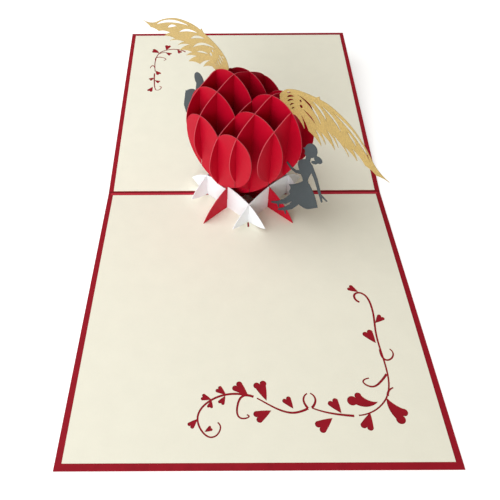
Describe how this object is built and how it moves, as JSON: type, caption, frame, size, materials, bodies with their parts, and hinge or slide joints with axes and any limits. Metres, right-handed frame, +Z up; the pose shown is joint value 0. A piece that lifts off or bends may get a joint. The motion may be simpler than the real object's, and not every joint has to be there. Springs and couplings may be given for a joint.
{
  "type": "pop-up card",
  "caption": "Open greeting card with a slotted paper heart on its fold, feathered wings, two cut-out figures and liners with a cut vine.",
  "frame": {"origin": "on the table under the middle of the open card's box", "axes": "+X along the fold to the right, +Y from the front half to the lifted back half, +Z up"},
  "size_m": [0.15, 0.2988, 0.083],
  "materials": {
    "red_card": "matte",
    "cream_paper": "matte",
    "red_paper": "matte",
    "white_paper": "matte",
    "gold_paper": "satin",
    "grey_paper": "matte"
  },
  "bodies": {
    "root": {"card_cover": "red_card", "front_liner": "cream_paper", "back_liner": "cream_paper", "oval_slice_1": "red_paper", "oval_slice_2": "red_paper", "oval_slice_3": "red_paper", "oval_slice_4": "red_paper", "oval_slice_5": "red_paper", "heart_slice_1": "red_paper", "heart_slice_2": "red_paper", "heart_slice_3": "red_paper", "heart_slice_4": "red_paper", "heart_slice_5": "red_paper", "front_left_strip": "white_paper", "back_right_strip": "white_paper", "front_right_strip": "white_paper", "back_left_strip": "white_paper", "left_wing": "gold_paper", "right_wing": "gold_paper", "woman_figure": "grey_paper", "man_figure": "grey_paper"}
  },
  "joints": []
}
